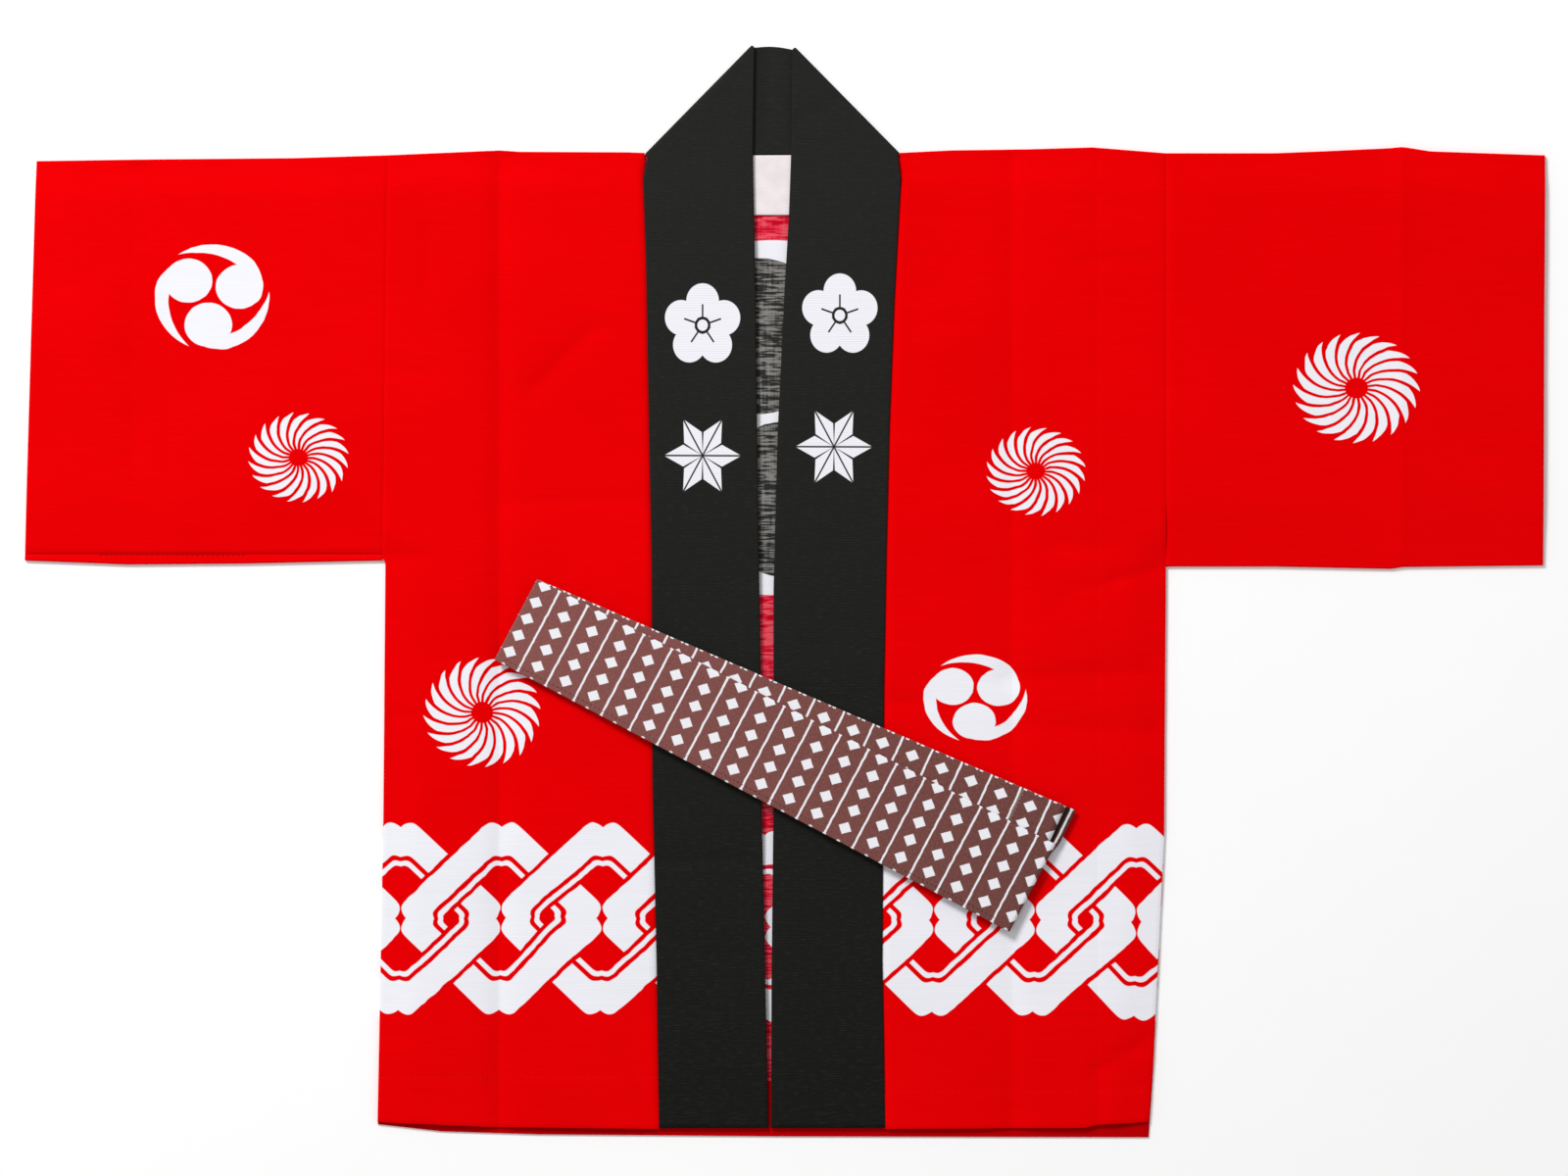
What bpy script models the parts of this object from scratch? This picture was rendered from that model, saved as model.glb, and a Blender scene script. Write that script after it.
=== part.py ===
# A child's happi coat laid flat with its front up, and its own belt folded in four on top of it.
# +X is the wearer's left, +Y runs from the hem to the collar, and +Z is up from the surface.
# Tables and sizes are in millimetres and are scaled to metres where the points are placed.

import math

import bmesh
import bpy
import numpy as np

MM = 0.001
CENTRE = (0.6, 1.07, 0)  # of the whole outline in these tables, where the origin goes

# thicknesses and heights
COAT_CLOTH = 1.0  # one layer of the coat's cloth
COLLAR_CLOTH = 2.0  # the collar is doubled
LABEL_CLOTH = 1.0
BELT_CLOTH = 1.0
SEAM_GAP = 0.3  # kept between pieces that are sewn to each other
FOLD_RADIUS = 0.7  # of the middle of the cloth, where a piece folds over
FOLD_INSET = FOLD_RADIUS + COAT_CLOTH / 2  # from a fold's outer edge back to its axis
BACK_HEIGHT = COAT_CLOTH / 2  # of the middle of the cloth that lies on the surface
EDGE_HEIGHT = BACK_HEIGHT + 2 * FOLD_RADIUS  # of the upper layer, beside a fold
LOFT = 1.6  # how far the upper layer rises above that, away from its folds
LOFT_REACH = 25  # distance from a fold over which it rises
HEM_REACH = 60  # distance from an open edge over which it comes down again
ARC_STEPS = 5

# outline, y for each x
SHOULDER = [
    (-251.1, 277.1), (-179.8, 280.2), (-167.4, 279.3), (-99.2, 279.0), (-88.0, 278.6),
    (73.0, 278.6), (105.4, 280.2), (155.0, 280.9), (195.3, 282.1), (241.8, 278.4),
]
BACK_HEM = [(-257.0, -336.5), (-217.0, -341.0), (-155.0, -342.9), (-6.2, -344.1), (230.6, -344.7)]
FRONT_HEM = [
    (-257.3, -334.8), (-186.0, -337.9), (-79.4, -339.1), (64.0, -339.1), (190.0, -338.5),
    (230.6, -334.8),
]
RIGHT_SLEEVE_TOP = [(-473.1, 273.4), (-409.2, 274.4), (-310.0, 275.3), (-251.1, 277.1)]
RIGHT_SLEEVE_BOTTOM = [(-480.5, 20.5), (-415.4, 18.0), (-341.0, 18.6), (-254.2, 20.5)]
LEFT_SLEEVE_TOP = [
    (241.8, 278.4), (310.0, 278.4), (341.0, 279.6), (391.8, 282.4), (409.2, 279.6), (480.5, 277.1),
]
LEFT_SLEEVE_BOTTOM = [(241.8, 16.7), (310.0, 16.7), (384.4, 15.2), (391.8, 16.4), (480.5, 17.4)]

# edges that run up the coat, x for each y
RIGHT_SIDE = [(-344.0, -257.3), (-145.7, -253.6), (18.6, -252.3), (20.5, -254.2), (277.1, -251.1)]
LEFT_SIDE = [(-344.0, 230.6), (-300.7, 233.7), (-158.1, 240.6), (17.4, 241.8), (278.4, 241.8)]
RIGHT_CUFF = [(20.5, -480.5), (273.4, -473.1)]
LEFT_CUFF = [(17.4, 480.5), (189.1, 481.1), (277.1, 481.7)]
RIGHT_STRIP_OUTER = [
    (-339.1, -79.0), (-232.5, -80.6), (-120.9, -83.1), (18.6, -83.7), (102.3, -85.4),
    (213.9, -87.4), (262.0, -89.2), (277.7, -85.0),
]
RIGHT_STRIP_INNER = [
    (-339.1, -9.9), (-244.9, -11.8), (-145.7, -13.9), (-58.9, -14.7), (102.3, -17.0),
    (189.1, -18.0), (275.9, -19.6), (345.2, -18.7),
]
LEFT_STRIP_OUTER = [
    (-339.1, 64.2), (-232.5, 62.2), (-65.1, 63.2), (18.6, 64.6), (102.3, 66.6), (186.0, 69.8),
    (262.0, 74.0), (277.7, 69.4),
]
LEFT_STRIP_INNER = [
    (-339.1, -8.3), (-244.9, -7.9), (-145.7, -6.8), (3.1, -6.6), (102.3, -4.0), (189.1, 0.2),
    (238.7, 3.1), (275.9, 4.4), (343.4, 4.9),
]
UNDERARM_Y = 18.6
BACK_NECK_Y = 277.4

# creases of the upper layer: x, y of both ends, depth (negative where it stands up), half width
CREASES = [
    (-181.0, 270.0, -181.0, -335.0, 0.8, 7.0),
    (142.6, 270.0, 142.6, -335.0, 0.8, 7.0),
    (390.6, 280.0, 390.6, 16.0, -0.9, 7.0),
]

# where the rows and columns of cloth lie
BODY_ROWS = [
    -341, -322, -295, -255, -210, -165, -120, -75, -35, 0, 18.6, 42, 78, 116, 154, 192, 225, 250,
    267, 278,
]
FRONT_COLUMNS = [0, 0.03, 0.08, 0.15, 0.23, 0.31, 0.37, 0.42, 0.48, 0.56, 0.66, 0.77, 0.89, 1]
GAP_COLUMNS = [0, 0.25, 0.5, 0.75, 1]
SLEEVE_ROWS = [0, 0.05, 0.11, 0.2, 0.34, 0.5, 0.66, 0.8, 0.89, 0.95, 1]
RIGHT_SLEEVE_COLUMNS = [0, 0.06, 0.15, 0.26, 0.38, 0.5, 0.62, 0.74, 0.84, 0.92, 1]
LEFT_SLEEVE_COLUMNS = [
    0, 0.07, 0.17, 0.28, 0.39, 0.49, 0.56, 0.6, 0.625, 0.65, 0.69, 0.76, 0.85, 0.93, 1,
]

# the collar: one doubled band, folded over on a slant at each side of the neck
COLLAR_HEIGHT = 3.6  # middle of its strips, where they lie between the fronts
COLLAR_HEM_DROP = 1.1  # how much lower they lie at the hem
NECK_HEIGHT = COLLAR_CLOTH / 2
COLLAR_BEND = (COLLAR_HEIGHT - NECK_HEIGHT) / 2
RIGHT_NECK_FOLD = [(-85.0, 277.7), (-18.7, 345.2)]
LEFT_NECK_FOLD = [(69.4, 277.7), (4.9, 343.4)]
COLLAR_HEM_Y = -338.5
COLLAR_TURN_Y = 205.0  # above it the strips' rows lean over to meet the slanted fold
COLLAR_COLUMNS = 5

# the label in the back neck: its middle, its top and its size
LABEL_X = -7.1
LABEL_SIZE = (60.0, 38.7)
LABEL_HEIGHT = 1.8

# the belt, from its cut end: left in the second layer, back in the top one, left underneath and
# back to its other end in the third. Each line across it runs from its upper to its lower edge.
BELT_HEIGHT = 5.4  # middle of its lowest layer
BELT_PITCH = 1.4  # from one layer to the next
BELT_COLUMNS = 4
BELT_LEFT_FOLD = [(0, -154.9, 8.2), (1, -181.8, -42.6)]
BELT_RIGHT_FOLD = [(0, 169.3, -157.6), (1, 140.2, -212.8)]
BELT_LOW_LEFT_FOLD = [(0, -153.5, 7.2), (1, -180.4, -43.6)]
BELT_FIRST_END = [(0, 177.9, -134.7), (0.45, 167.2, -158.5), (1, 153.1, -187.2)]
BELT_LAST_END = [
    (0, 184.4, -137.4), (0.25, 177.8, -150.8), (0.42, 173.3, -159.9), (0.55, 163.5, -166.0),
    (1, 150.0, -187.2),
]

RED = (0.79, 0.004, 0.012, 1)
BLACK = (0.02, 0.02, 0.018, 1)
WHITE = (0.86, 0.86, 0.88, 1)
BROWN = (0.2, 0.085, 0.07, 1)


def read(table, at):
    """The table's second column at each value of its first, with straight lines between its rows."""
    first, second = np.array(table).T
    return np.interp(at, first, second)


def ease(share):
    """Rises smoothly from 0 to 1."""
    share = np.clip(share, 0, 1)
    return share * share * (3 - 2 * share)


def blend(start, end, share):
    return start + (end - start) * share


def crease_depth(x, y):
    depth = np.zeros_like(x)
    for x1, y1, x2, y2, deep, half_width in CREASES:
        length = (x2 - x1) ** 2 + (y2 - y1) ** 2
        along = np.clip(((x - x1) * (x2 - x1) + (y - y1) * (y2 - y1)) / length, 0, 1)
        away = np.hypot(x - x1 - along * (x2 - x1), y - y1 - along * (y2 - y1))
        depth += deep * np.exp(-((away / half_width) ** 2))
    return depth


def upper_height(x, y, from_fold, from_open_edge):
    """Height of the middle of the upper layer, over the one that lies on the surface."""
    rise = ease((from_fold - FOLD_INSET) / LOFT_REACH)
    return EDGE_HEIGHT + rise * (
        LOFT * blend(0.4, 1, ease(from_open_edge / HEM_REACH)) - crease_depth(x, y)
    )


def cloth(name, columns, rows, place, thickness, colour, left_out=None):
    """A grid of cloth whose crossings are put by place(column, row), thickened on both sides."""
    bm = bmesh.new()
    bmesh.ops.create_grid(bm, x_segments=columns, y_segments=rows, size=0.5)
    flat = np.array([vert.co for vert in bm.verts])
    column = np.rint((flat[:, 0] + 0.5) * columns).astype(int)
    row = np.rint((flat[:, 1] + 0.5) * rows).astype(int)
    for vert, point in zip(bm.verts, np.stack(place(column, row), axis=1)):
        vert.co = (point - CENTRE) * MM
    if left_out:
        cut = left_out(column, row)
        bmesh.ops.delete(
            bm,
            geom=[face for face in bm.faces if all(cut[vert.index] for vert in face.verts)],
            context="FACES",
        )
    bmesh.ops.remove_doubles(bm, verts=bm.verts, dist=1e-6)
    for face in bm.faces:
        face.smooth = True
    mesh = bpy.data.meshes.new(name)
    bm.to_mesh(mesh)
    bm.free()
    piece = bpy.data.objects.new(name, mesh)
    happi.objects.link(piece)
    thicken = piece.modifiers.new("thickness", "SOLIDIFY")
    thicken.thickness = thickness * MM
    thicken.offset = 0
    thicken.use_even_offset = True
    material = bpy.data.materials.new(name + "_cloth")
    material.use_nodes = True
    shader = material.node_tree.nodes["Principled BSDF"]
    shader.inputs["Base Color"].default_value = colour
    shader.inputs["Roughness"].default_value = 0.85
    mesh.materials.append(material)
    return piece


def place_body(column, row):
    """Up the back, over the shoulders and down both fronts."""
    last_back = len(BODY_ROWS) - 1
    first_front = last_back + ARC_STEPS
    on_front = row >= first_front
    level = np.where(on_front, first_front + last_back - row, np.minimum(row, last_back))
    page_y = np.array(BODY_ROWS)[level]

    # the front's columns, the gap's between the fronts, and the other front's
    side = len(FRONT_COLUMNS) - 1
    gap = len(GAP_COLUMNS) - 1
    in_right = column <= side
    in_left = column >= side + gap
    right_share = np.array(FRONT_COLUMNS)[np.clip(column, 0, side)]
    gap_share = np.array(GAP_COLUMNS)[np.clip(column - side, 0, gap)]
    left_share = np.array(FRONT_COLUMNS)[np.clip(2 * side + gap - column, 0, side)]
    right_side, left_side = read(RIGHT_SIDE, page_y), read(LEFT_SIDE, page_y)
    right_inner = read(RIGHT_STRIP_OUTER, np.minimum(page_y, 262)) - SEAM_GAP
    left_inner = read(LEFT_STRIP_OUTER, np.minimum(page_y, 262)) + SEAM_GAP
    x = np.where(
        in_right,
        blend(right_side, right_inner, right_share),
        np.where(
            in_left,
            blend(left_side, left_inner, left_share),
            blend(right_inner, left_inner, gap_share),
        ),
    )

    top = read(SHOULDER, x) - FOLD_INSET
    hem = np.where(on_front, read(FRONT_HEM, x), read(BACK_HEM, x))
    share = (page_y - BODY_ROWS[0]) / (BODY_ROWS[-1] - BODY_ROWS[0])
    y = blend(hem, top, share)
    below_underarm = np.maximum(y - UNDERARM_Y, 0)
    from_side = np.hypot(np.minimum(x - right_side, left_side - x), below_underarm)
    from_fold = np.minimum(read(SHOULDER, x) - y, from_side + FOLD_INSET)
    upper = upper_height(x, y, from_fold, y - hem)

    turn = math.pi * np.clip((row - last_back) / ARC_STEPS, 0, 1)
    y = y + FOLD_RADIUS * np.sin(turn)
    over = BACK_HEIGHT + FOLD_RADIUS * (1 - np.cos(turn))
    return x, y, np.where(on_front, upper, over)


def body_opening(column, row):
    """The gap between the fronts, from the back's neck edge to the front hem."""
    side = len(FRONT_COLUMNS) - 1
    gap = len(GAP_COLUMNS) - 1
    return (row >= len(BODY_ROWS) - 1) & (column >= side) & (column <= side + gap)


def place_sleeve(shares, armhole, cuff, top_line, bottom_line, way):
    """Round the sleeve: up its back, over the top, down its front and back under."""

    def place(column, row):
        last_back = len(SLEEVE_ROWS) - 1
        first_front = last_back + ARC_STEPS
        last_front = first_front + last_back
        row = np.where(row == last_front + ARC_STEPS, 0, row)
        on_front = (row >= first_front) & (row <= last_front)
        level = np.where(
            row > last_front, 0, np.where(on_front, last_front - row, np.minimum(row, last_back))
        )
        share = np.array(SLEEVE_ROWS)[level]
        page_y = blend(bottom_line[0][1], top_line[0][1], share)
        outward = np.array(shares)[column]
        x = blend(read(armhole, page_y) + way * SEAM_GAP, read(cuff, page_y), outward)
        top, bottom = read(top_line, x), read(bottom_line, x)
        y = blend(bottom + FOLD_INSET, top - FOLD_INSET, share)
        from_cuff = np.abs(read(cuff, page_y) - x)
        upper = upper_height(x, y, np.minimum(top - y, y - bottom), from_cuff)
        over_top = math.pi * np.clip((row - last_back) / ARC_STEPS, 0, 1)
        under = math.pi * np.clip((row - last_front) / ARC_STEPS, 0, 1)
        y = y + FOLD_RADIUS * (np.sin(over_top) - np.sin(under))
        turned = BACK_HEIGHT + FOLD_RADIUS * (np.cos(under) - np.cos(over_top))
        return x, y, np.where(on_front, upper, turned)

    return place


def collar_rows():
    """Each row's two ends, the edge that is sewn first, and its heights above the surface."""
    strip = [(y, y) for y in np.linspace(COLLAR_HEM_Y, COLLAR_TURN_Y, 17)]
    rows = []

    def add_strip(outer, inner, fold, upward):
        lean = [
            (blend(COLLAR_TURN_Y, fold[0][1], s), blend(COLLAR_TURN_Y, fold[1][1], s))
            for s in np.linspace(0, 1, 8)[1:]
        ]
        ends = strip + lean
        for outer_y, inner_y in ends if upward else reversed(ends):
            y = blend(outer_y, inner_y, across)
            x = blend(read(outer, y), read(inner, y), across)
            drop = COLLAR_HEM_DROP * (1 - ease((y - COLLAR_HEM_Y) / HEM_REACH))
            rows.append((x, y, COLLAR_HEIGHT - drop))

    def add_bend(fold, way, turns):
        (x0, y0), (x1, y1) = fold
        length = math.hypot(x1 - x0, y1 - y0)
        out_x, out_y = -way * (y1 - y0) / length, way * (x1 - x0) / length
        for turn in turns:
            push = COLLAR_BEND * math.sin(turn)
            x, y = blend(x0, x1, across) + out_x * push, blend(y0, y1, across) + out_y * push
            height = NECK_HEIGHT + COLLAR_BEND * (1 + math.cos(turn))
            rows.append((x, y, np.full_like(across, height)))

    across = np.linspace(0, 1, COLLAR_COLUMNS + 1)
    turns = np.linspace(0, math.pi, ARC_STEPS + 2)
    add_strip(RIGHT_STRIP_OUTER, RIGHT_STRIP_INNER, RIGHT_NECK_FOLD, True)
    add_bend(RIGHT_NECK_FOLD, 1, turns[1:])
    right, left = np.array(RIGHT_NECK_FOLD), np.array(LEFT_NECK_FOLD)
    for share in np.linspace(0, 1, 9)[1:-1]:
        (x0, y0), (x1, y1) = blend(right, left, share)
        rows.append((blend(x0, x1, across), blend(y0, y1, across), np.full_like(across, NECK_HEIGHT)))
    add_bend(LEFT_NECK_FOLD, -1, turns[:0:-1])
    add_strip(LEFT_STRIP_OUTER, LEFT_STRIP_INNER, LEFT_NECK_FOLD, False)
    return np.array(rows)


def belt_rows():
    across = np.linspace(0, 1, BELT_COLUMNS + 1)
    rows = []

    def line(table):
        share, x, y = np.array(table).T
        return np.interp(across, share, x), np.interp(across, share, y)

    def add_layer(start, end, layer, first=1):
        (x0, y0), (x1, y1) = line(start), line(end)
        height = np.full_like(across, BELT_HEIGHT + BELT_PITCH * layer)
        for share in np.linspace(0, 1, 15)[first:]:
            rows.append((blend(x0, x1, share), blend(y0, y1, share), height))

    def add_bend(fold, layer, next_layer, way):
        x, y = line(fold)
        length = math.hypot(x[-1] - x[0], y[-1] - y[0])
        out_x, out_y = way * (y[-1] - y[0]) / length, way * (x[0] - x[-1]) / length
        bend = abs(next_layer - layer) * BELT_PITCH / 2
        middle = BELT_HEIGHT + BELT_PITCH * (layer + next_layer) / 2
        for turn in np.linspace(0, math.pi, ARC_STEPS + abs(next_layer - layer))[1:]:
            push = bend * math.sin(turn)
            height = middle + np.sign(layer - next_layer) * bend * math.cos(turn)
            rows.append((x + out_x * push, y + out_y * push, np.full_like(across, height)))

    add_layer(BELT_FIRST_END, BELT_LEFT_FOLD, 2, first=0)
    add_bend(BELT_LEFT_FOLD, 2, 3, 1)
    add_layer(BELT_LEFT_FOLD, BELT_RIGHT_FOLD, 3)
    add_bend(BELT_RIGHT_FOLD, 3, 0, -1)
    add_layer(BELT_RIGHT_FOLD, BELT_LOW_LEFT_FOLD, 0)
    add_bend(BELT_LOW_LEFT_FOLD, 0, 1, 1)
    add_layer(BELT_LOW_LEFT_FOLD, BELT_LAST_END, 1)
    return np.array(rows)


def place_rows(rows):
    return lambda column, row: tuple(rows[row, :, column].T)


def place_label(column, row):
    width, length = LABEL_SIZE
    x = LABEL_X + width * (column / 4 - 0.5)
    return x, BACK_NECK_Y - length * (1 - row / 3), np.full(len(x), LABEL_HEIGHT)


for old in list(bpy.data.objects):
    bpy.data.objects.remove(old, do_unlink=True)
happi = bpy.data.collections.new("happi_coat")
bpy.context.scene.collection.children.link(happi)

cloth(
    "body",
    2 * len(FRONT_COLUMNS) + len(GAP_COLUMNS) - 3,
    2 * len(BODY_ROWS) - 2 + ARC_STEPS,
    place_body,
    COAT_CLOTH,
    RED,
    left_out=body_opening,
)
sleeve_rows = 2 * (len(SLEEVE_ROWS) - 1 + ARC_STEPS)
cloth(
    "sleeve_right",
    len(RIGHT_SLEEVE_COLUMNS) - 1,
    sleeve_rows,
    place_sleeve(
        RIGHT_SLEEVE_COLUMNS, RIGHT_SIDE, RIGHT_CUFF, RIGHT_SLEEVE_TOP, RIGHT_SLEEVE_BOTTOM, -1
    ),
    COAT_CLOTH,
    RED,
)
cloth(
    "sleeve_left",
    len(LEFT_SLEEVE_COLUMNS) - 1,
    sleeve_rows,
    place_sleeve(LEFT_SLEEVE_COLUMNS, LEFT_SIDE, LEFT_CUFF, LEFT_SLEEVE_TOP, LEFT_SLEEVE_BOTTOM, 1),
    COAT_CLOTH,
    RED,
)
collar = collar_rows()
cloth("collar", COLLAR_COLUMNS, len(collar) - 1, place_rows(collar), COLLAR_CLOTH, BLACK)
cloth("label", 4, 3, place_label, LABEL_CLOTH, WHITE)
belt = belt_rows()
cloth("belt", BELT_COLUMNS, len(belt) - 1, place_rows(belt), BELT_CLOTH, BROWN)
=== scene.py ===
import math

import bmesh
import bpy
import numpy as np
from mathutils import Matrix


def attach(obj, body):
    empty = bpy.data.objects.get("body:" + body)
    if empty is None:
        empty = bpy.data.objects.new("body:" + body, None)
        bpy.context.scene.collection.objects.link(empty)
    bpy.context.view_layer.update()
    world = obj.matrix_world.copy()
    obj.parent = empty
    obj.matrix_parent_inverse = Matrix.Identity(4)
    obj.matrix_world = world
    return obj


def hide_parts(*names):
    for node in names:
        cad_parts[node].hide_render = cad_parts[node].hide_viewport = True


# A child's happi coat laid flat with its belt folded on it: cloth, prints and stitching over the solids.
# The tables are in millimetres, x to the right and y up from a point near the middle of the coat.

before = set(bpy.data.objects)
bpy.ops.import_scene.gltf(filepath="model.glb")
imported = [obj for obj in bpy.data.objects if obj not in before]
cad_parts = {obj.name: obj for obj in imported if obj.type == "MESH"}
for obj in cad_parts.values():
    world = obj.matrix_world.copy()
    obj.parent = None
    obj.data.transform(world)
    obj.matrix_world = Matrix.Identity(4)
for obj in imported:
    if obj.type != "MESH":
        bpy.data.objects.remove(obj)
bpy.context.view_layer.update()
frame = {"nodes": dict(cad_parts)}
print("frame loaded:", ", ".join(frame["nodes"]))

page = {"middle": (0.6, 1.07, 0.0), "toMetres": 0.001}


# Numbers and meshes


def readTable(table, at):  # straight lines between the table's rows
    first, second = np.array(table, float).T
    return np.interp(at, first, second)


def ease(share):  # 3s^2 - 2s^3, which leaves 0 and reaches 1 level
    share = np.clip(share, 0, 1)
    return share * share * (3 - 2 * share)


def between(start, end, share):
    return start + (end - start) * share


def lengthAlong(points):  # from the first point to each of them
    return np.concatenate([[0], np.cumsum(np.linalg.norm(np.diff(points, axis=0), axis=1))])


def gridFaces(rows, columns, ring=False, loop=False, flip=False):
    # the four corners of each cell; ring closes every row on itself, loop joins the last row to the first
    index = np.arange(rows * columns).reshape(rows, columns)
    index = np.hstack([index, index[:, :1]]) if ring else index
    index = np.vstack([index, index[:1]]) if loop else index
    faces = np.stack([index[:-1, :-1], index[:-1, 1:], index[1:, 1:], index[1:, :-1]], axis=-1)
    faces = faces.reshape(-1, 4)
    return faces[:, ::-1] if flip else faces


def addPiece(name, points, faces, materials, ends=(), strap=None, outward=False):
    # points in millimetres; strap gives each point's own length and width along a strap as its UV map
    corners = np.concatenate([np.ravel(faces)] + [np.array(end) for end in ends]).astype(int)
    used, index = np.unique(corners, return_inverse=True)
    index = index.ravel()
    quads = index[: np.size(faces)].reshape(-1, 4).tolist()
    caps, start = [], np.size(faces)
    for end in ends:
        caps.append(index[start : start + len(end)].tolist())
        start += len(end)
    mesh = bpy.data.meshes.new(name)
    place = (points.reshape(-1, 3)[used] - page["middle"]) * page["toMetres"]
    mesh.from_pydata(place.tolist(), [], quads + caps)
    if strap is not None:
        layer = mesh.uv_layers.new(name="strap")
        layer.data.foreach_set("uv", strap.reshape(-1, 2)[corners].astype(np.float32).ravel())
    if outward:
        shell = bmesh.new()
        shell.from_mesh(mesh)
        bmesh.ops.recalc_face_normals(shell, faces=shell.faces)
        shell.to_mesh(mesh)
        shell.free()
    mesh.shade_smooth()
    for material in materials:
        mesh.materials.append(material)
    piece = bpy.data.objects.new(name, mesh)
    bpy.context.scene.collection.objects.link(piece)
    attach(piece, "root")
    return piece


def thicken(piece, wall, inside):
    # the cloth's wall, with the second material on its inner side
    wrap = piece.modifiers.new("wall", "SOLIDIFY")
    wrap.thickness = wall * page["toMetres"]
    wrap.offset = 0
    wrap.material_offset = inside
    wrap.material_offset_rim = 0
    level = piece.modifiers.new("level", "WEIGHTED_NORMAL")  # the thin rim would tilt the shading
    level.mode = "FACE_AREA"
    level.weight = 100


# Shader maths


class Wire:  # a socket that Python's operators work on
    def __init__(self, socket):
        self.socket = socket

    def make(self, kind, settings, inputs, output=0):
        # any node: its type, its settings, then the values or wires of its sockets
        tree = self.socket.id_data
        node = tree.nodes.new(kind)
        for key, value in settings.items():
            setattr(node, key, value)
        for key, value in inputs.items():
            if isinstance(value, Wire):
                tree.links.new(value.socket, node.inputs[key])
            else:
                node.inputs[key].default_value = value
        return Wire(node.outputs[output])

    def math(self, operation, *values, clamp=False):
        settings = {"operation": operation, "use_clamp": clamp}
        return self.make("ShaderNodeMath", settings, dict(enumerate(values)))

    def output(self, number):
        return Wire(self.socket.node.outputs[number])

    def __add__(self, other):
        return self.math("ADD", self, other)

    def __sub__(self, other):
        return self.math("SUBTRACT", self, other)

    def __rsub__(self, other):
        return self.math("SUBTRACT", other, self)

    def __mul__(self, other):
        return self.math("MULTIPLY", self, other)

    def __truediv__(self, other):
        return self.math("DIVIDE", self, other)

    def __mod__(self, other):
        return self.math("FLOORED_MODULO", self, other)

    def __pow__(self, other):
        return self.math("POWER", self, other)

    def __abs__(self):
        return self.math("ABSOLUTE", self)

    def __gt__(self, other):
        return self.math("GREATER_THAN", self, other)

    __radd__ = __add__
    __rmul__ = __mul__


def smaller(first, *others):
    for other in others:
        first = first.math("MINIMUM", first, other)
    return first


def larger(first, *others):
    for other in others:
        first = first.math("MAXIMUM", first, other)
    return first


def inked(distance, soft=0.3):  # 1 inside the print and 0 outside, over a soft edge
    return distance.math("MULTIPLY_ADD", distance, 1 / soft, 0.5, clamp=True)


def tint(factor, first, second):  # a colour between two, by Mix
    first, second = [c if isinstance(c, Wire) else (*c, 1) for c in (first, second)]
    settings = {"data_type": "RGBA"}
    return factor.make("ShaderNodeMix", settings, {0: factor, 6: first, 7: second}, output=2)


def separate(place):  # its x, y and z
    split = place.make("ShaderNodeSeparateXYZ", {}, {0: place})
    return [split.output(axis) for axis in range(3)]


def fading(distance):  # exp(-distance)
    return distance.math("EXPONENT", distance * -1.0)


def scaled(place, x, y, z):
    return place.make("ShaderNodeVectorMath", {"operation": "MULTIPLY"}, {0: place, 1: (x, y, z)})


def noise(place, stretch, detail=2.0, roughness=0.5):
    inputs = {"Vector": scaled(place, *stretch), "Scale": 1.0, "Detail": detail, "Roughness": roughness}
    return place.make("ShaderNodeTexNoise", {}, inputs)


def startMaterial(name, roughness, specular):
    material = bpy.data.materials.new(name)
    material.use_nodes = True
    shader = material.node_tree.nodes["Principled BSDF"]
    shader.inputs["Roughness"].default_value = roughness
    shader.inputs["Specular IOR Level"].default_value = specular
    coords = Wire(material.node_tree.nodes.new("ShaderNodeTexCoord").outputs["Object"])
    settings = {"operation": "MULTIPLY_ADD"}
    place = coords.make("ShaderNodeVectorMath", settings, {0: coords, 1: (1000,) * 3, 2: page["middle"]})
    return material, place


def finishMaterial(material, colour, height):  # height in millimetres
    tree = material.node_tree
    shader = tree.nodes["Principled BSDF"]
    tree.links.new(colour.socket, shader.inputs["Base Color"])
    inputs = {"Strength": 1.0, "Distance": page["toMetres"], "Height": height}
    tree.links.new(height.make("ShaderNodeBump", {}, inputs).socket, shader.inputs["Normal"])
    return material


# Prints, each as a distance in millimetres that is above 0 inside its shape


def polar(x, y, crest):  # radius as a share of the crest's, and angle
    u, v = (x - crest["x"]) / crest["wide"], (y - crest["y"]) / crest["high"]
    return (u * u + v * v) ** 0.5, u.math("ARCTAN2", v, u)


def commas(x, y, crest):
    # the angle is folded into one comma's sector; its head is a circle, and its tail lies between
    # the rim and a curve that climbs to the rim with the cube of the angle
    size = (crest["wide"] + crest["high"]) / 2
    sector = 2 * math.pi / crest["count"]
    r, angle = polar(x, y, crest)
    turn = (angle - crest["start"]) % sector
    near = smaller(turn, sector - turn)
    toHead = (r * r + crest["at"] ** 2 - near.math("COSINE", near) * r * (2 * crest["at"])) ** 0.5
    climb = (turn / crest["tail"]) ** 3
    rim = smaller(turn * 0.17 + 0.94, 1.0)  # a little smaller where a tail starts
    tail = smaller(r - (crest["inner"] + climb * (1 - crest["inner"])), rim - r)
    return larger(crest["head"] - toHead, tail) * size


claws = {
    "straight": 0.3, "bend": 0.85, "bendPower": 1.15,  # the lines bend past this radius
    "gap": 0.84,  # half the bare line at the middle, in millimetres; it widens to the rim
    "tip": 0.25, "tipPower": 2.3,  # how far inside the rim a claw's far corner ends
    "eye": 0.19,
}


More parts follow.
